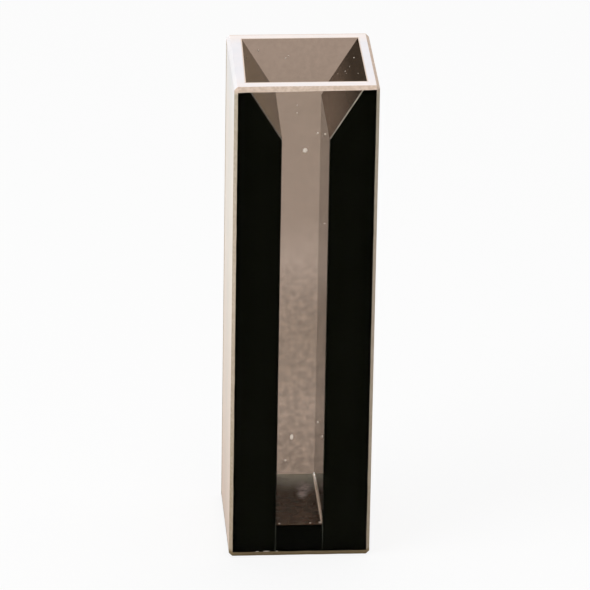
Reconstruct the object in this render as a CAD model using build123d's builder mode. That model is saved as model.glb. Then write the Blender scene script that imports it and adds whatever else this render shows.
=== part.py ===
"""Semi-micro cuvette: two clear windows fused over black side walls and a black base.

The side walls slope back at the top, so that the narrow chamber opens into a funnel.
Frame: Z up, origin at the middle of the underside. The light path runs along Y, and the
front window faces -Y. Lengths are in millimetres, angles in degrees.
"""

from build123d import *

import os
from math import radians, tan

# Chamber
light_path = 10.0  # between the inner faces of the windows, along Y
sample_width = 4.1  # between the side walls, along X
floor_height = 2.8  # from the underside to the chamber floor

# Body around the chamber
cell_height = 45.0
window_thickness = 1.25
wall_thickness = 4.2

# Funnel at the mouth
lip_width = 1.05  # what the slope leaves of a side wall at the rim
funnel_angle = 31.5  # the slope, from the vertical

# Edges
edge_chamfer = 0.3  # ground chamfer on the outer edges of the cell
seam_bevel = 0.08  # fine bevel on the black edges that run along a window or round the floor

# Sizes and places that follow from these
cell_width = sample_width + 2 * wall_thickness
outer_side = cell_width / 2
chamber_side = sample_width / 2
window_seat = light_path / 2
funnel_run = wall_thickness - lip_width
funnel_depth = funnel_run / tan(radians(funnel_angle))
funnel_foot = cell_height - funnel_depth
lip_inner = chamber_side + funnel_run

# Front window: a plate over the whole front, its inner face flush with the black pieces
with BuildPart() as front_window:
    with BuildSketch(Plane.XZ.offset(window_seat)):
        Rectangle(cell_width, cell_height, align=(Align.CENTER, Align.MIN))
    extrude(amount=window_thickness)
    outer_face_edges = faces().sort_by(Axis.Y).first.edges()
    corner_edges = edges().filter_by(Axis.Y)
    chamfer(outer_face_edges + corner_edges, length=edge_chamfer)
front_window.part.label = "front_window"

# Rear window: the same plate on the other side of the chamber
with BuildPart() as rear_window:
    mirror(front_window.part, about=Plane.XZ)
rear_window.part.label = "rear_window"

# Left wall: a black block between the windows, sloped back to a narrow lip at the rim
with BuildPart() as left_wall:
    with BuildSketch(Plane.XZ):
        with BuildLine():
            Polyline(
                (-outer_side, 0),
                (-chamber_side, 0),
                (-chamber_side, funnel_foot),
                (-lip_inner, cell_height),
                (-outer_side, cell_height),
                close=True,
            )
        make_face()
    extrude(amount=window_seat, both=True)
    outer_edges = edges().filter_by(Axis.Y).group_by(Axis.X)[0]
    upright_edges = edges().filter_by(Axis.Z)
    level_edges = edges().filter_by(Axis.X) + edges().filter_by(Axis.Y)
    slope_edges = edges() - upright_edges - level_edges
    chamber_edges = upright_edges.group_by(Axis.X)[-1]
    chamfer(chamber_edges + slope_edges, length=seam_bevel)
    chamfer(outer_edges, length=edge_chamfer)
left_wall.part.label = "left_wall"

# Right wall: the mirror image of the left one
with BuildPart() as right_wall:
    mirror(left_wall.part, about=Plane.YZ)
right_wall.part.label = "right_wall"

# Base: a black block between the walls and the windows, its top the chamber floor
with BuildPart() as base:
    with BuildSketch(Plane.XY):
        Rectangle(sample_width, light_path)
    extrude(amount=floor_height)
    floor_edges = faces().sort_by(Axis.Z).last.edges()
    chamfer(floor_edges, length=seam_bevel)
base.part.label = "base"

os.makedirs("parts", exist_ok=True)
for piece in (front_window, rear_window, left_wall, right_wall, base):
    export_step(piece.part, f"parts/{piece.part.label}.step")
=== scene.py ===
"""The look of a fused, black-walled cuvette that stands on a pale studio floor."""

import math

import bmesh
import bpy
from mathutils import Matrix, Quaternion, Vector, noise


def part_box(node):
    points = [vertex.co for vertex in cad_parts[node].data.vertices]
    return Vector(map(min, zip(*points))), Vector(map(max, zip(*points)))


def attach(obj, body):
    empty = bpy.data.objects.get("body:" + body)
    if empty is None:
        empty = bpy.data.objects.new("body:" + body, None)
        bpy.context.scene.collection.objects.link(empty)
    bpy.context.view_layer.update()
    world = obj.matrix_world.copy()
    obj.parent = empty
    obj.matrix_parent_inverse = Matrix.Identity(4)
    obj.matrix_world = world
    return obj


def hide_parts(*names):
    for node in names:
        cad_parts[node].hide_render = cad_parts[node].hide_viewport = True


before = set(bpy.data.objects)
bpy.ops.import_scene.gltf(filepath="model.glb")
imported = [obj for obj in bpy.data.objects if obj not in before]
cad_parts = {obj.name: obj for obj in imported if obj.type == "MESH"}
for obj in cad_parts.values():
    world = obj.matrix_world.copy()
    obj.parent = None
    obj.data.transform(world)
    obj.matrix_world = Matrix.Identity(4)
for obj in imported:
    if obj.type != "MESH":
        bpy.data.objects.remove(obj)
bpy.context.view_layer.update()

MM = 0.001

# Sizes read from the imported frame
front_low, front_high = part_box("front_window")
rear_low, rear_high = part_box("rear_window")
base_low, base_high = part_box("base")
OUTER_SIDE = front_high.x
CELL_HEIGHT = front_high.z
WINDOW_SEAT = rear_low.y
CHAMBER_SIDE = base_high.x
FLOOR_HEIGHT = base_high.z

# Sizes that the nodes' boxes don't give
LIP_WIDTH = 1.05 * MM
FUNNEL_ANGLE = math.radians(31.5)
EDGE_CHAMFER = 0.3 * MM
SEAM_BEVEL = 0.08 * MM
LIP_INNER = OUTER_SIDE - LIP_WIDTH
FUNNEL_FOOT = CELL_HEIGHT - (LIP_INNER - CHAMBER_SIDE) / math.tan(FUNNEL_ANGLE)

# Traces of the hand work
BOND_DEPTH = 0.005 * MM  # how far black glass is pressed into a window, so that no air shows between them
GRIND_STEP = 0.7 * MM  # from one point of a hand-ground edge to the next
GRIND_WANDER = 0.035 * MM  # how far such an edge strays from straight
TOP_FLARE = 0.14 * MM  # by how much the front window's top chamfer is wider at its left end
FOOT_FLARE = 0.2 * MM  # by how much its lower chamfer is taller than the others
LIP_SKEW = 0.25 * MM  # by how much the left wall's lip is wider at the rear window than at the front one
SIDE_SKEW = 0.09 * MM  # the same for that wall's side of the chamber
BEAD_REAR = 0.16 * MM  # width of the glass bead along the floor's right edge
BEAD_FRONT = 0.12 * MM
BEAD_FLATNESS = 0.35  # its height as a share of its width
BEAD_FLATS = 6  # in its rounded side
RIPPLE_COUNT = 9  # of the small ripples at the bead's rear end, which catch light from the mouth
RIPPLE_STEP = 0.3 * MM  # from one ripple to the next
RIPPLE_WIDTH = 0.07 * MM
RIPPLE_HEIGHT = 0.016 * MM  # of the one at the rear window; the others get lower towards the front
RIPPLE_SLOPE = math.radians(35)
BOND_FACE = WINDOW_SEAT + BOND_DEPTH

TINY = 0.001 * MM
SQUARE_ON = 0.99  # a face whose normal has this much of an axis looks along it
ASLANT = 0.1  # a face whose normal has more than this much of an axis leans towards it

# Specks of dust, in millimetres
SPECK_DEPTH = 0.06
WINDOW_SPECKS = [  # inside the front window: place across, height above the underside, width and length
    (-0.05, 38.8, 0.42, 0.40),
    (1.0, 40.4, 0.15, 0.15),
    (1.65, 40.3, 0.14, 0.16),
    (-0.8, 43.0, 0.10, 0.10),
    (-0.8, 42.3, 0.10, 0.10),
    (-0.8, 11.4, 0.28, 0.52),
    (1.9, 11.4, 0.10, 0.26),
    (-1.32, 9.1, 0.18, 0.14),
    (1.5, 12.8, 0.10, 0.24),
    (1.75, 31.9, 0.17, 0.04),
]
REAR_SPECKS = [  # inside the rear window: place across, height above the underside and size
    (-3.5, 43.9, 0.16),
    (-1.1, 43.15, 0.13),
    (-0.85, 43.35, 0.10),
]
SLOPE_SPECKS = [  # on the right slope: place from front to rear, height above the underside and size
    (2.4, 44.16, 0.11),
    (2.0, 43.5, 0.06),
    (2.3, 42.95, 0.10),
    (1.5, 43.05, 0.05),
    (-1.4, 44.25, 0.07),
    (3.8, 42.1, 0.05),
]
FLOOR_SPECKS = [  # on the floor, along the front window: place across, width and height
    (-1.75, 0.16, 0.04),
    (1.0, 0.16, 0.05),
    (1.85, 0.22, 0.14),
]
SMUDGE_STRETCH = 0.6  # the smudges on the floor are this much narrower than long
FLOOR_SMUDGES = [  # place across and from front to rear, reach across and strength
    (0.62, 0.75, 0.65, 1.2),
    (0.98, 2.2, 1.1, 1.1),
]
EDGE_CHIPS = [  # in the front window's lower edge: place across and width
    (-2.95, 0.60),
    (-3.75, 0.30),
    (-2.0, 0.18),
]


# Mesh helpers

def same(one, other):
    return abs(one - other) < TINY


def box_mesh(low, high):
    bm = bmesh.new()
    bmesh.ops.create_cube(bm, size=1)
    bmesh.ops.scale(bm, vec=high - low, verts=bm.verts)
    bmesh.ops.translate(bm, vec=(low + high) / 2, verts=bm.verts)
    return bm


def chosen_edges(bm, test):
    return [edge for edge in bm.edges if test(edge.verts[0].co, edge.verts[1].co)]


def chamfer(bm, edges, width):
    bmesh.ops.bevel(
        bm, geom=edges, offset=width, offset_type="OFFSET", affect="EDGES",
        segments=1, profile=0.5, material=-1, clamp_overlap=False,
    )


def pull_out(bm, face, along):
    grown = bmesh.ops.extrude_face_region(bm, geom=[face])["geom"]
    far_end = [item for item in grown if isinstance(item, bmesh.types.BMVert)]
    bmesh.ops.translate(bm, vec=along, verts=far_end)
    return far_end


def make_piece(name, bm, finishes, finish_of):
    """Turns a mesh into a piece, each face with the finish that finish_of names."""
    names = list(finishes)
    bmesh.ops.recalc_face_normals(bm, faces=bm.faces)
    for face in bm.faces:
        face.material_index = names.index(finish_of(face.normal, face.calc_center_median()))
    mesh = bpy.data.meshes.new(name)
    bm.to_mesh(mesh)
    bm.free()
    for finish in finishes.values():
        mesh.materials.append(finish)
    piece = bpy.data.objects.new(name, mesh)
    bpy.context.scene.collection.objects.link(piece)
    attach(piece, "root")
    return piece


# Windows

def stray(place, row):
    """How far a hand-ground edge strays at a place along it; each row of edges strays in its own way."""
    return GRIND_WANDER * noise.noise(Vector((place / (2 * GRIND_STEP), row, 0)))


def grind_by_hand(bm, outer_y, top_flare, foot_flare):
    """Lets both borders of a plate's outer chamfers stray a little, each within its own face."""
    for vert in bm.verts:
        place = vert.co.copy()
        if same(abs(place.y - outer_y), EDGE_CHAMFER):
            vert.co.y += stray(place.x + place.z, 1)
        if not same(place.y, outer_y):
            continue
        if abs(place.x) > OUTER_SIDE - 2 * EDGE_CHAMFER:
            vert.co.x += stray(place.z, 3)
        if place.z < 2 * EDGE_CHAMFER:
            vert.co.z += stray(place.x, 5) + foot_flare
        if place.z > CELL_HEIGHT - 2 * EDGE_CHAMFER:
            share_left = (OUTER_SIDE - place.x) / (2 * OUTER_SIDE)
            vert.co.z += stray(place.x, 7) - top_flare * share_left


def window_mesh(low, high, outer_y, top_flare=0, foot_flare=0):
    bm = box_mesh(low, high)

    def on_outer_face(a, b):
        return same(a.y, outer_y) and same(b.y, outer_y)

    for axis in "xz":
        long_edges = chosen_edges(
            bm, lambda a, b: on_outer_face(a, b) and not same(getattr(a, axis), getattr(b, axis))
        )
        cuts = round(long_edges[0].calc_length() / GRIND_STEP)
        bmesh.ops.subdivide_edges(bm, edges=long_edges, cuts=cuts)
    chamfer(bm, chosen_edges(bm, lambda a, b: on_outer_face(a, b) or not same(a.y, b.y)), EDGE_CHAMFER)
    grind_by_hand(bm, outer_y, top_flare, foot_flare)
    return bm


def on_right_chamfer(normal):
    """Tells the chamfers between the right side and the rim or the underside."""
    return normal.x > ASLANT and abs(normal.z) > ASLANT


def front_window_finish(normal, centre):
    if abs(normal.y) > SQUARE_ON:
        return "polished"
    if abs(normal.y) > ASLANT or on_right_chamfer(normal):
        return "chamfer"
    return "ground"


def rear_window_finish(normal, centre):
    # the sides take the tan chamfer finish: painted shade that outlines the window
    if abs(normal.x) > SQUARE_ON:
        return "chamfer"
    return front_window_finish(normal, centre)


# Black walls and base

def wall_mesh(side, lip_skew=0, side_skew=0):
    """A wall on side -1 or 1. The skews shift its lip and its chamber side at the rear window."""
    bm = bmesh.new()
    section = [
        (OUTER_SIDE, 0),
        (CHAMBER_SIDE, 0),
        (CHAMBER_SIDE, FUNNEL_FOOT),
        (LIP_INNER, CELL_HEIGHT),
        (OUTER_SIDE, CELL_HEIGHT),
    ]
    face = bm.faces.new([bm.verts.new((side * x, -BOND_FACE, z)) for x, z in section])
    rear_end = pull_out(bm, face, (0, 2 * BOND_FACE, 0))
    for vert in rear_end:
        if same(abs(vert.co.x), LIP_INNER):
            vert.co.x += lip_skew
        elif same(abs(vert.co.x), CHAMBER_SIDE):
            vert.co.x += side_skew
            if same(vert.co.z, FUNNEL_FOOT):
                vert.co.z += (lip_skew - side_skew) / math.tan(FUNNEL_ANGLE)

    def at_side(place):
        return same(abs(place.x), OUTER_SIDE)

    seams = chosen_edges(bm, lambda a, b: same(a.y, b.y) and not at_side(a) and not at_side(b))
    chamfer(bm, seams, SEAM_BEVEL)
    outer = chosen_edges(bm, lambda a, b: at_side(a) and at_side(b) and not same(a.y, b.y))
    chamfer(bm, outer, EDGE_CHAMFER)
    bmesh.ops.bisect_plane(
        bm, geom=[*bm.verts, *bm.edges, *bm.faces], plane_co=(0, 0, FLOOR_HEIGHT), plane_no=(0, 0, 1)
    )
    return bm


def wall_finish(normal, centre):
    if abs(normal.y) > SQUARE_ON:
        return "bonded"
    if centre.x > LIP_INNER and on_right_chamfer(normal):
        return "chamfer"
    if abs(centre.x) > LIP_INNER or abs(normal.z) > SQUARE_ON:
        return "ground"
    if normal.z > ASLANT:
        if abs(normal.y) > ASLANT:
            return "seam"
        return "left slope" if centre.x < 0 else "right slope"
    if abs(normal.y) > ASLANT and centre.z < FLOOR_HEIGHT:
        return "fused"
    return "polished"


def base_mesh():
    """The base, its left side cut to follow the left wall."""
    bm = box_mesh(
        Vector((base_low.x, -BOND_FACE, base_low.z)), Vector((base_high.x, BOND_FACE, base_high.z))
    )
    rear_left = [vert for vert in bm.verts if vert.co.x < 0 and vert.co.y > 0]
    bmesh.ops.translate(bm, vec=(SIDE_SKEW, 0, 0), verts=rear_left)
    top = chosen_edges(bm, lambda a, b: same(a.z, FLOOR_HEIGHT) and same(b.z, FLOOR_HEIGHT))
    chamfer(bm, top, SEAM_BEVEL)
    return bm


def base_finish(normal, centre):
    if normal.z < -SQUARE_ON:
        return "ground"
    if abs(normal.z) < ASLANT:
        return "bonded"
    return "floor"


def bead_mesh():
    """A low rounded bead in the floor's right corner, thinner to the front and rippled at the rear."""
    bm = bmesh.new()
    corner = Vector((CHAMBER_SIDE, WINDOW_SEAT, FLOOR_HEIGHT))
    start = bm.verts.new(corner - Vector((BEAD_REAR, 0, 0)))
    bmesh.ops.spin(
        bm, geom=[start], cent=corner, axis=(0, 1, 0), angle=math.pi / 2,
        steps=BEAD_FLATS, use_duplicate=False,
    )
    arc = list(bm.verts)
    face = bm.faces.new([bm.verts.new(corner), *arc])
    far_end = pull_out(bm, face, (0, -2 * WINDOW_SEAT, 0))
    narrower = BEAD_FRONT / BEAD_REAR
    bmesh.ops.scale(bm, vec=(narrower, 1, narrower), space=Matrix.Translation(-corner), verts=far_end)
    bmesh.ops.scale(bm, vec=(1, 1, BEAD_FLATNESS), space=Matrix.Translation(-corner), verts=bm.verts)
    for ripple in range(RIPPLE_COUNT):
        forward = ripple * RIPPLE_STEP
        bead = BEAD_REAR + (BEAD_FRONT - BEAD_REAR) * forward / (2 * WINDOW_SEAT)
        tall = bead * BEAD_FLATNESS + RIPPLE_HEIGHT * (1 - ripple / RIPPLE_COUNT) ** 2
        length = tall / math.tan(RIPPLE_SLOPE)
        toe = corner - Vector((RIPPLE_WIDTH, length + forward, 0))
        wedge = [(0, 0), (length, 0), (length, tall)]
        face = bm.faces.new([bm.verts.new(toe + Vector((0, y, z))) for y, z in wedge])
        pull_out(bm, face, (RIPPLE_WIDTH, 0, 0))
    return bm


# Dust and chips

def add_speck(bm, place, size):
    """Adds a small grain, its place and its size along each axis in millimetres."""
    grain = bmesh.ops.create_icosphere(bm, subdivisions=2, radius=MM / 2)["verts"]
    bmesh.ops.scale(bm, vec=size, verts=grain)
    bmesh.ops.translate(bm, vec=Vector(place) * MM, verts=grain)


def speck_mesh():
    bm = bmesh.new()
    seat = WINDOW_SEAT / MM
    for x, z, width, length in WINDOW_SPECKS:
        add_speck(bm, (x, SPECK_DEPTH / 2 - seat, z), (width, SPECK_DEPTH, length))
    for x, z, size in REAR_SPECKS:
        add_speck(bm, (x, seat - SPECK_DEPTH / 2, z), (size, SPECK_DEPTH, size))
    for y, z, size in SLOPE_SPECKS:
        x = LIP_INNER / MM - (CELL_HEIGHT / MM - z) * math.tan(FUNNEL_ANGLE)
        add_speck(bm, (x, y, z), (size, size, size))
    for x, width, tall in FLOOR_SPECKS:
        add_speck(bm, (x, width - seat, FLOOR_HEIGHT / MM), (width, width, tall))
    chip_height = (EDGE_CHAMFER + FOOT_FLARE) / MM + SPECK_DEPTH / 2
    for x, width in EDGE_CHIPS:
        place = (x, SPECK_DEPTH + front_low.y / MM, chip_height)
        add_speck(bm, place, (width, SPECK_DEPTH, SPECK_DEPTH))
    return bm


# Shader helpers

NOISE_LOW = 0.3  # nearly all values of a noise lie between these two
NOISE_HIGH = 0.7


def add_node(tree, kind, settings=None, **inputs):
    """Adds a node. An input is a plain value, or the socket of another node that feeds it."""
    node = tree.nodes.new("ShaderNode" + kind)
    for name, value in (settings or {}).items():
        setattr(node, name, value)
    for name, value in inputs.items():
        feed(tree, node.inputs[name.replace("_", " ")], value)
    return node


def feed(tree, socket, value):
    if isinstance(value, bpy.types.NodeSocket):
        tree.links.new(value, socket)
    else:
        socket.default_value = value


def sums(tree, operation, first, second):
    node = add_node(tree, "Math", {"operation": operation})
    feed(tree, node.inputs[0], first)
    feed(tree, node.inputs[1], second)
    return node.outputs[0]


def spread(tree, value, low, high, to_low=0.0, to_high=1.0):
    """Maps a value between low and high, smoothly, to the range given."""
    node = add_node(
        tree, "MapRange", {"interpolation_type": "SMOOTHSTEP"},
        Value=value, From_Min=low, From_Max=high, To_Min=to_low, To_Max=to_high,
    )
    return node.outputs["Result"]


def between(tree, share, to_low, to_high):
    """Maps a share from 0 to 1, smoothly, to the range given."""
    return spread(tree, share, 0, 1, to_low, to_high)


def by_noise(tree, value, to_low, to_high):
    """Maps a noise, smoothly, to the range given."""
    return spread(tree, value, NOISE_LOW, NOISE_HIGH, to_low, to_high)


def blended(tree, factor, first, second, blend="MIX"):
    node = add_node(tree, "Mix", {"data_type": "RGBA", "blend_type": blend})
    factor_in, first_in, second_in = node.inputs[0], node.inputs[6], node.inputs[7]
    feed(tree, factor_in, factor)
    feed(tree, first_in, first)
    feed(tree, second_in, second)
    return node.outputs[2]


def ramp(tree, factor, stops):
    """Colours by a value: each stop is the value and its colour."""
    node = add_node(tree, "ValToRGB", Fac=factor)
    elements = node.color_ramp.elements
    while len(elements) < len(stops):
        elements.new(1)
    for element, (position, colour) in zip(elements, stops):
        element.position = position
        element.color = (*colour, 1)
    return node.outputs["Color"]


def cell_place(tree):
    """The socket of a point's place on the cell."""
    return add_node(tree, "TexCoord").outputs["Object"]


def cell_axis(tree, axis):
    """The socket of a point's place along one axis of the cell."""
    return add_node(tree, "SeparateXYZ", Vector=cell_place(tree)).outputs[axis]


def per(size):
    """The scale of a noise whose marks have a size in millimetres."""
    return 1 / (size * MM)


def new_group(name, inputs, outputs):
    group = bpy.data.node_groups.new(name, "ShaderNodeTree")
    for title, value in inputs.items():
        socket = group.interface.new_socket(title, in_out="INPUT", socket_type="NodeSocketFloat")
        socket.default_value = value
    for title in outputs:
        group.interface.new_socket(title, in_out="OUTPUT", socket_type="NodeSocketFloat")
    return group, group.nodes.new("NodeGroupInput"), group.nodes.new("NodeGroupOutput")


def use_group(tree, group, **inputs):
    node = tree.nodes.new("ShaderNodeGroup")
    node.node_tree = group
    for name, value in inputs.items():
        feed(tree, node.inputs[name.replace("_", " ")], value)
    return node.outputs


# Effects that several finishes share

def grinding_effect():
    """The matt grain that grinding leaves, and the cloudy patches in it."""
    group, given, out = new_group(
        "grinding", {"Grain Scale": per(0.06), "Patch Scale": per(1.5)}, ["Grain", "Patches"]
    )
    where = cell_place(group)
    grain = add_node(group, "TexNoise", Vector=where, Scale=given.outputs["Grain Scale"], Detail=2.0)
    patches = add_node(group, "TexNoise", Vector=where, Scale=given.outputs["Patch Scale"], Detail=3.0)
    feed(group, out.inputs["Grain"], grain.outputs["Fac"])
    feed(group, out.inputs["Patches"], spread(group, patches.outputs["Fac"], 0.35, 0.65))
    return group


def smear_effect():
    """The cloudy film and the fine mottle that wiping leaves on polished glass."""
    group, given, out = new_group(
        "smears", {"Film Scale": per(3.0), "Mottle Scale": per(0.5)}, ["Film", "Mottle"]
    )
    where = cell_place(group)
    film = add_node(group, "TexNoise", Vector=where, Scale=given.outputs["Film Scale"], Detail=4.0)
    mottle = add_node(
        group, "TexNoise", Vector=where, Scale=given.outputs["Mottle Scale"], Detail=2.0, Roughness=0.55
    )
    feed(group, out.inputs["Film"], spread(group, film.outputs["Fac"], 0.45, 0.75))
    feed(group, out.inputs["Mottle"], mottle.outputs["Fac"])
    return group


def height_effect():
    """How high a point is on the cell, from 0 at the underside to 1 at the rim."""
    group, _, out = new_group("height", {}, ["Share"])
    feed(group, out.inputs["Share"], sums(group, "DIVIDE", cell_axis(group, "Z"), CELL_HEIGHT))
    return group


grinding = grinding_effect()
smears = smear_effect()
height = height_effect()


# Finishes

def new_material(name):
    material = bpy.data.materials.new(name)
    material.use_nodes = True
    tree = material.node_tree
    return material, tree, tree.nodes["Principled BSDF"]


def set_inputs(tree, shader, **values):
    for name, value in values.items():
        feed(tree, shader.inputs[name.replace("_", " ")], value)


def roughened(tree, grain, depth, strength):
    bump = add_node(tree, "Bump", Height=grain, Distance=depth, Strength=strength)
    return bump.outputs["Normal"]


WHITE = (1, 1, 1, 1)
DEEP_BLACK = (0.003, 0.003, 0.002, 1)
GLASS_IOR = 1.46
POLISH_IOR = 1.66  # the walls' polish mirrors most of the black faces, and the slopes least, where a brown film with painted reflection makes up the rest
FLOOR_IOR = 1.42
LEFT_SLOPE_IOR = 1.24
RIGHT_SLOPE_IOR = 1.13
FAINT_MIRROR = (0.05, 0.05, 0.04, 1)  # the windows mirror little, so that the black stays deep
# WARM_MIRROR and FLOOR_MIRROR tint the black glass's mirror images warm: a painted reflection colour for
# brown surroundings
WARM_MIRROR = (1.0, 0.85, 0.68, 1)
FLOOR_MIRROR = (1.0, 0.83, 0.6, 1)
FOOT_SHARE = FUNNEL_FOOT / CELL_HEIGHT  # the height of the slopes' foot, as a share of the cell's
FILM_TOP_SHARE = 0.97  # the height from which a slope has its upper film of dust and painted reflection
REAR_REFLECTION_FRONT = 0.3 * MM  # where the floor's painted reflection of the rear window begins; it thickens towards that window
REAR_REFLECTION_POWER = 1.6
REAR_REFLECTION_LEFT = -0.4 * CHAMBER_SIDE  # left of this that painted reflection gets thinner
RIM_SKIN = 0.02 * MM  # a point less than this below the top belongs to the rim
BORDER_REACH = 0.17 * MM  # width of the tan borders on the rim, the rear one a painted shade outline
BORDER_TAN = (0.66, 0.48, 0.34, 1)
PATCH_STRENGTH = 0.4  # of the cloudy patches on ground glass
GRAIN_DEPTH = 0.01 * MM  # of the grain on ground glass
CHAMFER_GRAIN_DEPTH = 0.015 * MM


def clear_glass():
    material, tree, shader = new_material("clear_glass")
    film = use_group(tree, smears)["Film"]
    set_inputs(
        tree, shader, IOR=GLASS_IOR, Transmission_Weight=1.0, Specular_Tint=FAINT_MIRROR,
        Base_Color=blended(tree, film, WHITE, (0.96, 0.955, 0.94, 1)),
        Roughness=between(tree, film, 0.0, 0.006),
    )
    return material


def painted_backdrop_glass():
    """Polished glass with a grey-brown tint, uneven in height and mottled lower down. The tint is painted
    light and shade: it stands in for the brown surroundings seen through the glass, lighter or darker by
    height as they were lit.
    """
    material, tree, shader = new_material("painted_backdrop_glass")
    mottle = use_group(tree, smears)["Mottle"]
    share = use_group(tree, height)["Share"]
    # painted light and shade of the surroundings seen through the glass, by height
    painted_backdrop_tone = ramp(tree, share, [
        (0.08, (0.26, 0.193, 0.150)),
        (0.20, (0.318, 0.239, 0.189)),
        (0.36, (0.278, 0.207, 0.160)),
        (0.44, (0.300, 0.225, 0.177)),
        (0.53, (0.385, 0.296, 0.240)),
        (0.62, (0.320, 0.241, 0.190)),
        (0.85, (0.316, 0.238, 0.186)),
        (0.97, (0.350, 0.262, 0.208)),
    ])
    strength = ramp(tree, share, [
        (0.13, (1.0, 1.0, 1.0)),
        (0.18, (0.74, 0.74, 0.74)),
        (0.42, (0.74, 0.74, 0.74)),
        (0.56, (0.185, 0.185, 0.185)),
    ])
    shade = by_noise(tree, mottle, 0.71, 1.27)
    mottled = blended(tree, strength, WHITE, shade)
    set_inputs(
        tree, shader, IOR=GLASS_IOR, Transmission_Weight=1.0, Specular_Tint=FAINT_MIRROR, Roughness=0.0,
        Base_Color=blended(tree, 1.0, painted_backdrop_tone, mottled, "MULTIPLY"),
    )
    return material


def polished_black():
    material, tree, shader = new_material("polished_black_glass")
    film = use_group(tree, smears)["Film"]
    set_inputs(
        tree, shader, IOR=POLISH_IOR, Specular_Tint=WARM_MIRROR,
        Base_Color=blended(tree, film, DEEP_BLACK, (0.012, 0.010, 0.008, 1)),
        Roughness=between(tree, film, 0.02, 0.08),
    )
    return material


def slope_with_painted_reflection(name, mirror_ior, film_and_reflection_above, film_and_reflection_below):
    """One of the funnel's black slopes, with a brown film that changes from the rim to the foot. The film
    is partly dust and partly a painted reflection of the brown surroundings, standing in for mirror light
    that the slope's low IOR leaves out.
    """
    material, tree, shader = new_material(name)
    marks = use_group(tree, smears, Film_Scale=per(1.5), Mottle_Scale=per(0.25))
    share = use_group(tree, height)["Share"]
    # brown film: partly dust, partly painted reflection
    film = ramp(tree, share, [(FOOT_SHARE, film_and_reflection_below), (FILM_TOP_SHARE, film_and_reflection_above)])
    uneven = by_noise(tree, marks["Mottle"], 0.65, 1.0)
    set_inputs(
        tree, shader, IOR=mirror_ior, Specular_Tint=WARM_MIRROR,
        Base_Color=blended(tree, uneven, DEEP_BLACK, film),
        Roughness=between(tree, marks["Film"], 0.03, 0.12),
    )
    return material


def floor_smudges(tree):
    """A mask of the smudges on the floor: blotchy, and fainter away from the middle of each."""
    mottle = use_group(tree, smears, Mottle_Scale=per(0.45))["Mottle"]
    blotches = spread(tree, mottle, 0.35, 0.65, 0.4, 1.0)
    stretched = add_node(tree, "VectorMath", {"operation": "MULTIPLY"})
    feed(tree, stretched.inputs[0], cell_place(tree))
    feed(tree, stretched.inputs[1], (1, SMUDGE_STRETCH, 0))
    mask = 0.0
    for across, rearward, reach, strength in FLOOR_SMUDGES:
        away = add_node(tree, "VectorMath", {"operation": "DISTANCE"})
        feed(tree, away.inputs[0], stretched.outputs["Vector"])
        feed(tree, away.inputs[1], (across * MM, rearward * SMUDGE_STRETCH * MM, 0))
        near = spread(tree, away.outputs["Value"], 0.0, reach * MM, strength, 0.0)
        mask = sums(tree, "ADD", mask, sums(tree, "MULTIPLY", blotches, near))
    return mask


def mirror_painted_floor():
    """Polished black with a pale band along the rear window that is a painted reflection of that window,
    smudges and a little dust all over.
    """
    material, tree, shader = new_material("mirror_painted_floor_glass")
    marks = use_group(tree, smears, Film_Scale=per(1.2), Mottle_Scale=per(0.9))
    # painted reflection of the rear window: paler towards it and thinner on the left
    rearwards = spread(tree, cell_axis(tree, "Y"), REAR_REFLECTION_FRONT, WINDOW_SEAT)
    inwards = spread(tree, cell_axis(tree, "X"), -CHAMBER_SIDE, REAR_REFLECTION_LEFT, 0.5, 1.0)
    painted_rear_reflection = sums(tree, "MULTIPLY", sums(tree, "POWER", rearwards, REAR_REFLECTION_POWER), inwards)
    clouded = sums(tree, "ADD", painted_rear_reflection, spread(tree, marks["Mottle"], 0.35, 0.7, 0.003, 0.03))
    uneven = sums(tree, "MULTIPLY", clouded, between(tree, marks["Film"], 1.0, 0.75))
    dust_and_rear_reflection = blended(tree, uneven, (0.045, 0.010, 0.001, 1), (0.95, 0.93, 0.78, 1))
    set_inputs(
        tree, shader, IOR=FLOOR_IOR, Specular_Tint=FLOOR_MIRROR,
        Base_Color=blended(tree, floor_smudges(tree), dust_and_rear_reflection, (0.95, 0.79, 0.75, 1)),
        Roughness=between(tree, marks["Film"], 0.03, 0.08),
    )
    return material


def bonded_black(name, tone, cloud):
    """Black glass fused to a window, with no air between them and so no mirror of its own."""
    material, tree, shader = new_material(name)
    film = use_group(tree, smears, Film_Scale=per(6.0))["Film"]
    set_inputs(
        tree, shader, Roughness=0.5, Specular_IOR_Level=0.0, Base_Color=blended(tree, film, tone, cloud),
    )
    return material


def rim_border(tree):
    """A mask for the rim's tan borders: 1 along the mouth and along the rear border, fading out over the
    border. The rear one is a painted shade outline.
    """
    x = cell_axis(tree, "X")
    y = cell_axis(tree, "Y")
    askew = add_node(
        tree, "MapRange", Value=y, From_Min=-WINDOW_SEAT, From_Max=WINDOW_SEAT, To_Min=0.0, To_Max=LIP_SKEW
    )
    leftwards = sums(tree, "SUBTRACT", askew.outputs["Result"], x)
    past_lip = sums(tree, "SUBTRACT", sums(tree, "MAXIMUM", x, leftwards), LIP_INNER)
    past_seat = sums(tree, "SUBTRACT", sums(tree, "ABSOLUTE", y, 0.0), WINDOW_SEAT)
    past_mouth = sums(tree, "MAXIMUM", past_lip, past_seat)
    to_rear = sums(tree, "SUBTRACT", rear_high.y - EDGE_CHAMFER, y)
    nearest = sums(tree, "MINIMUM", past_mouth, to_rear)
    return spread(tree, nearest, 0, BORDER_REACH, 1.0, 0.0)


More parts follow.
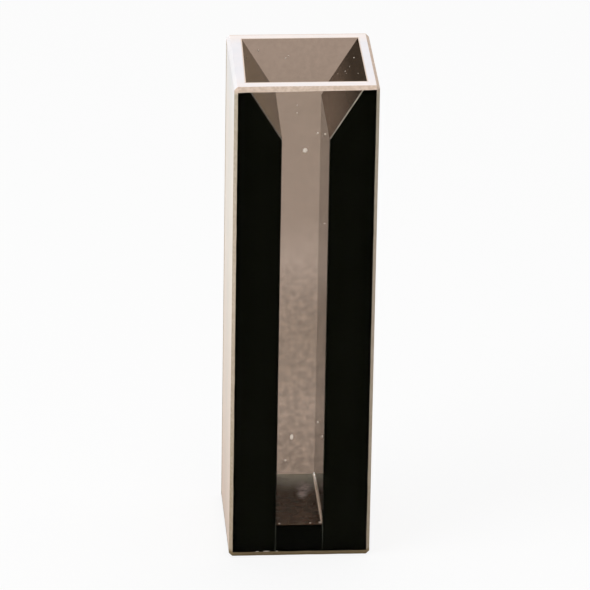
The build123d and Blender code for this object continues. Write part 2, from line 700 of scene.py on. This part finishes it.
def ground_glass():
    """Pale ground glass: whitest at the rim, tan along the rim's borders, and darker and warmer lower
    down, with painted shade at the foot.
    """
    material, tree, shader = new_material("ground_glass")
    marks = use_group(tree, grinding)
    share = use_group(tree, height)["Share"]
    # darker and warmer lower down; the dark band at the foot is painted shade
    tone = ramp(tree, share, [
        (0.000, (0.14, 0.11, 0.075)),
        (0.008, (0.18, 0.14, 0.095)),
        (0.013, (0.78, 0.63, 0.53)),
        (0.250, (0.88, 0.75, 0.65)),
        (0.600, (0.97, 0.88, 0.78)),
        (0.880, (0.98, 0.91, 0.83)),
        (0.970, (0.97, 0.94, 0.91)),
        (0.998, (0.93, 0.90, 0.905)),
    ])
    rearwards = add_node(
        tree, "MapRange", Value=cell_axis(tree, "Y"), From_Min=front_low.y, From_Max=rear_high.y
    )
    evenness = ramp(tree, rearwards.outputs["Result"], [
        (0.10, (1.0, 1.0, 1.0)),
        (0.50, (0.94, 0.95, 0.955)),
        (0.90, (0.98, 0.97, 0.97)),
    ])
    rim_tone = ramp(tree, rearwards.outputs["Result"], [
        (0.08, (0.93, 0.86, 0.845)),
        (0.20, (0.874, 0.845, 0.864)),
        (0.80, (0.874, 0.845, 0.864)),
        (0.92, (0.95, 0.86, 0.825)),
    ])
    on_rim = sums(tree, "GREATER_THAN", cell_axis(tree, "Z"), CELL_HEIGHT - RIM_SKIN)
    uneven = blended(tree, on_rim, blended(tree, 1.0, tone, evenness, "MULTIPLY"), rim_tone)
    cloudy = sums(tree, "MULTIPLY", marks["Patches"], PATCH_STRENGTH)
    patched = blended(tree, cloudy, uneven, (0.92, 0.96, 0.98, 1), "MULTIPLY")
    worn = by_noise(tree, marks["Grain"], 0.5, 1.0)
    # tan fringe along the mouth; along the rear edge, a painted shade outline
    fringe_and_painted_outline = sums(tree, "MULTIPLY", rim_border(tree), worn)
    border = sums(tree, "MULTIPLY", on_rim, fringe_and_painted_outline)
    set_inputs(
        tree, shader, Specular_IOR_Level=0.1,
        Base_Color=blended(tree, border, patched, BORDER_TAN),
        Roughness=by_noise(tree, marks["Grain"], 0.6, 0.85),
        Normal=roughened(tree, marks["Grain"], GRAIN_DEPTH, 0.3),
    )
    return material


def ground_chamfer():
    """The tan of the windows' ground chamfers, paler along the rim and dark at the foot: painted light and
    shade, the tan standing in for brown light shining through the edges and the dark foot for painted
    shade.
    """
    material, tree, shader = new_material("ground_chamfer")
    marks = use_group(tree, grinding, Grain_Scale=per(0.09), Patch_Scale=per(0.25))
    share = use_group(tree, height)["Share"]
    # painted light and shade: tan from brown light through the edges, lighter higher up and at the rim,
    # dark at the foot
    tone = ramp(tree, share, [
        (0.000, (0.24, 0.175, 0.09)),
        (0.011, (0.26, 0.19, 0.10)),
        (0.016, (0.49, 0.40, 0.295)),
        (0.250, (0.555, 0.46, 0.35)),
        (0.600, (0.65, 0.54, 0.43)),
        (0.985, (0.60, 0.525, 0.41)),
        (0.992, (0.80, 0.64, 0.53)),
    ])
    mottled = blended(tree, marks["Patches"], (0.86, 0.84, 0.80, 1), WHITE)
    set_inputs(
        tree, shader, Specular_IOR_Level=0.1, Base_Color=blended(tree, 1.0, tone, mottled, "MULTIPLY"),
        Roughness=by_noise(tree, marks["Grain"], 0.55, 0.8),
        Normal=roughened(tree, marks["Grain"], CHAMFER_GRAIN_DEPTH, 0.4),
    )
    return material


def seam_bevel_glint():
    """The fine ground bevel along a slope, with a painted highlight: brighter on the right wall, where the
    key light glints, and there brightest at the rim.
    """
    material, tree, shader = new_material("seam_bevel_glint")
    marks = use_group(tree, grinding, Patch_Scale=per(0.8))
    share = use_group(tree, height)["Share"]
    # painted highlight: the key light's glint on the right bevels, rising to the rim; the left stays dim
    right_glint_tone = ramp(tree, share, [
        (FOOT_SHARE, (0.45, 0.38, 0.31)),
        (0.99, (0.75, 0.635, 0.51)),
    ])
    on_right = sums(tree, "GREATER_THAN", cell_axis(tree, "X"), 0.0)
    tone = blended(tree, on_right, (0.2, 0.18, 0.15, 1), right_glint_tone)
    worn = blended(tree, marks["Patches"], (0.7, 0.7, 0.7, 1), WHITE)
    set_inputs(
        tree, shader, IOR=GLASS_IOR, Base_Color=blended(tree, 1.0, tone, worn, "MULTIPLY"),
        Roughness=by_noise(tree, marks["Grain"], 0.55, 0.8),
    )
    return material


def fused_seam():
    """The grey line where the base is fused between the walls."""
    material, tree, shader = new_material("fused_seam")
    film = use_group(tree, smears, Film_Scale=per(0.6))["Film"]
    set_inputs(
        tree, shader, Roughness=0.4, Specular_IOR_Level=0.0,
        Base_Color=blended(tree, film, (0.05, 0.053, 0.043, 1), (0.09, 0.092, 0.078, 1)),
    )
    return material


def bead_glass():
    """Clear glass that mirrors all the light inside it, as a thin bead does."""
    material, tree, shader = new_material("bead_glass")
    marks = use_group(tree, grinding, Patch_Scale=per(1.0))
    set_inputs(
        tree, shader, Metallic=1.0,
        Base_Color=blended(tree, marks["Patches"], (0.96, 0.95, 0.92, 1), (1.0, 0.99, 0.96, 1)),
        Roughness=by_noise(tree, marks["Grain"], 0.03, 0.10),
    )
    return material


def dust():
    material, tree, shader = new_material("dust")
    marks = use_group(tree, grinding, Patch_Scale=per(2.0))
    set_inputs(
        tree, shader, Roughness=0.9,
        Base_Color=blended(tree, marks["Patches"], (0.88, 0.74, 0.62, 1), (0.97, 0.86, 0.75, 1)),
    )
    return material


# Pieces

ground = ground_glass()
chamfered = ground_chamfer()
front = make_piece(
    "front_window_glass", window_mesh(front_low, front_high, front_low.y, TOP_FLARE, FOOT_FLARE),
    {"polished": clear_glass(), "ground": ground, "chamfer": chamfered},
    front_window_finish,
)
rear = make_piece(
    "rear_window_glass", window_mesh(rear_low, rear_high, rear_high.y),
    {"polished": painted_backdrop_glass(), "ground": ground, "chamfer": chamfered},
    rear_window_finish,
)
bonded_wall = bonded_black(
    "bonded_wall_glass", (0.0018, 0.0019, 0.0006, 1), (0.003, 0.003, 0.0014, 1)
)
bonded_base = bonded_black(
    "bonded_base_glass", (0.0004, 0.0004, 0.0001, 1), (0.001, 0.001, 0.0004, 1)
)
wall_finishes = {
    "polished": polished_black(),
    # each slope's film is partly dust, partly painted reflection; the left one is brighter near the rim
    "left slope": slope_with_painted_reflection(
        "left_slope_glass", LEFT_SLOPE_IOR, (0.125, 0.072, 0.02), (0.13, 0.08, 0.043)
    ),
    "right slope": slope_with_painted_reflection(
        "right_slope_glass", RIGHT_SLOPE_IOR, (0.016, 0.008, 0.001), (0.20, 0.13, 0.09)
    ),
    "bonded": bonded_wall,
    "ground": ground,
    "chamfer": chamfered,
    "seam": seam_bevel_glint(),
    "fused": fused_seam(),
}
left_wall = make_piece(
    "left_black_wall", wall_mesh(-1, LIP_SKEW, SIDE_SKEW), wall_finishes, wall_finish
)
right_wall = make_piece("right_black_wall", wall_mesh(1), wall_finishes, wall_finish)
base = make_piece(
    "black_base", base_mesh(), {"floor": mirror_painted_floor(), "bonded": bonded_base, "ground": ground},
    base_finish,
)
make_piece(
    "floor_bead", bead_mesh(), {"bead": bead_glass()}, lambda normal, centre: "bead"
)
make_piece(
    "dust_specks", speck_mesh(), {"dust": dust()}, lambda normal, centre: "dust"
)
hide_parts("front_window")
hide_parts("rear_window")
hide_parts("left_wall")
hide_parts("right_wall")
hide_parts("base")


# Studio

MIDDLE = Vector((0, 0, CELL_HEIGHT / 2))
CAMERA_AZIMUTH = math.radians(-4.398)
CAMERA_ELEVATION = math.radians(24.555)
CAMERA_ROLL = math.radians(0.99)
CAMERA_DISTANCE = 483.09 * MM
CAMERA_LENS = 334.37  # in millimetres, on Blender's 36 mm sensor
FRAME_PIXELS = 590
AIM_RIGHT_PIXELS = 3.36  # where the photograph has the middle of the cell, from the middle of the frame
AIM_DOWN_PIXELS = 1.57
CAMERA_SIGHT = 10  # how far the camera sees
STAGE_SIDE = 3.0
STAGE_TONE = (0.9, 0.9, 0.9, 1)
STAGE_DROP = 0.02 * MM  # keeps the floor clear of the underside, which would flicker through it
STAGE_GLOW = 0.85  # the share of plain white in the floor that is seen; the rest shows the shadow
WORLD_LIGHT = 0.25
SOFTBOXES = [  # name, place, side and power
    ("key_softbox", (-0.35, -0.15, 0.3), 0.3, 1.0),
    ("top_softbox", (0.05, 0.05, 0.5), 0.4, 1.4),
]


def add_camera():
    data = bpy.data.cameras.new("camera")
    data.lens = CAMERA_LENS
    data.shift_x = -AIM_RIGHT_PIXELS / FRAME_PIXELS
    data.shift_y = AIM_DOWN_PIXELS / FRAME_PIXELS
    data.clip_end = CAMERA_SIGHT
    camera = bpy.data.objects.new("camera", data)
    bpy.context.scene.collection.objects.link(camera)
    level = math.cos(CAMERA_ELEVATION)
    back = Vector(
        (math.sin(CAMERA_AZIMUTH) * level, -math.cos(CAMERA_AZIMUTH) * level, math.sin(CAMERA_ELEVATION))
    )
    camera.location = MIDDLE + back * CAMERA_DISTANCE
    camera.rotation_mode = "QUATERNION"
    camera.rotation_quaternion = (-back).to_track_quat("-Z", "Y") @ Quaternion((0, 0, 1), CAMERA_ROLL)
    bpy.context.scene.camera = camera


def seen_directly(tree):
    """A socket that is 1 for rays that show the surface: the camera's, mirrored and through glass."""
    path = add_node(tree, "LightPath").outputs
    mirrored = sums(tree, "MAXIMUM", path["Is Camera Ray"], path["Is Glossy Ray"])
    return sums(tree, "MAXIMUM", mirrored, path["Is Transmission Ray"])


def add_stage():
    bm = bmesh.new()
    bmesh.ops.create_grid(bm, x_segments=1, y_segments=1, size=STAGE_SIDE / 2)
    bmesh.ops.translate(bm, vec=(0, 0, -STAGE_DROP), verts=bm.verts)
    mesh = bpy.data.meshes.new("floor")
    bm.to_mesh(mesh)
    bm.free()
    floor = bpy.data.objects.new("floor", mesh)
    bpy.context.scene.collection.objects.link(floor)
    material, tree, shader = new_material("floor")
    set_inputs(tree, shader, Base_Color=STAGE_TONE, Roughness=0.9, Specular_IOR_Level=0.0)
    glow = add_node(tree, "Emission", Strength=1.0)
    mix = add_node(tree, "MixShader")
    feed(tree, mix.inputs[0], sums(tree, "MULTIPLY", seen_directly(tree), STAGE_GLOW))
    feed(tree, mix.inputs[1], shader.outputs[0])
    feed(tree, mix.inputs[2], glow.outputs[0])
    feed(tree, tree.nodes["Material Output"].inputs["Surface"], mix.outputs[0])
    mesh.materials.append(material)


def add_softbox(name, place, side, power):
    data = bpy.data.lights.new(name, "AREA")
    data.size = side
    data.energy = power
    lamp = bpy.data.objects.new(name, data)
    bpy.context.scene.collection.objects.link(lamp)
    lamp.location = place
    lamp.rotation_mode = "QUATERNION"
    lamp.rotation_quaternion = (MIDDLE - Vector(place)).to_track_quat("-Z", "Y")


def set_world():
    world = bpy.data.worlds.new("studio")
    bpy.context.scene.world = world
    world.use_nodes = True
    tree = world.node_tree
    background = tree.nodes["Background"]
    background.inputs["Color"].default_value = WHITE
    level = add_node(tree, "MapRange", Value=seen_directly(tree), To_Min=WORLD_LIGHT, To_Max=1.0)
    feed(tree, background.inputs["Strength"], level.outputs[0])


add_camera()
add_stage()
set_world()
for name, place, side, power in SOFTBOXES:
    add_softbox(name, place, side, power)
bpy.context.scene.view_settings.view_transform = "Standard"
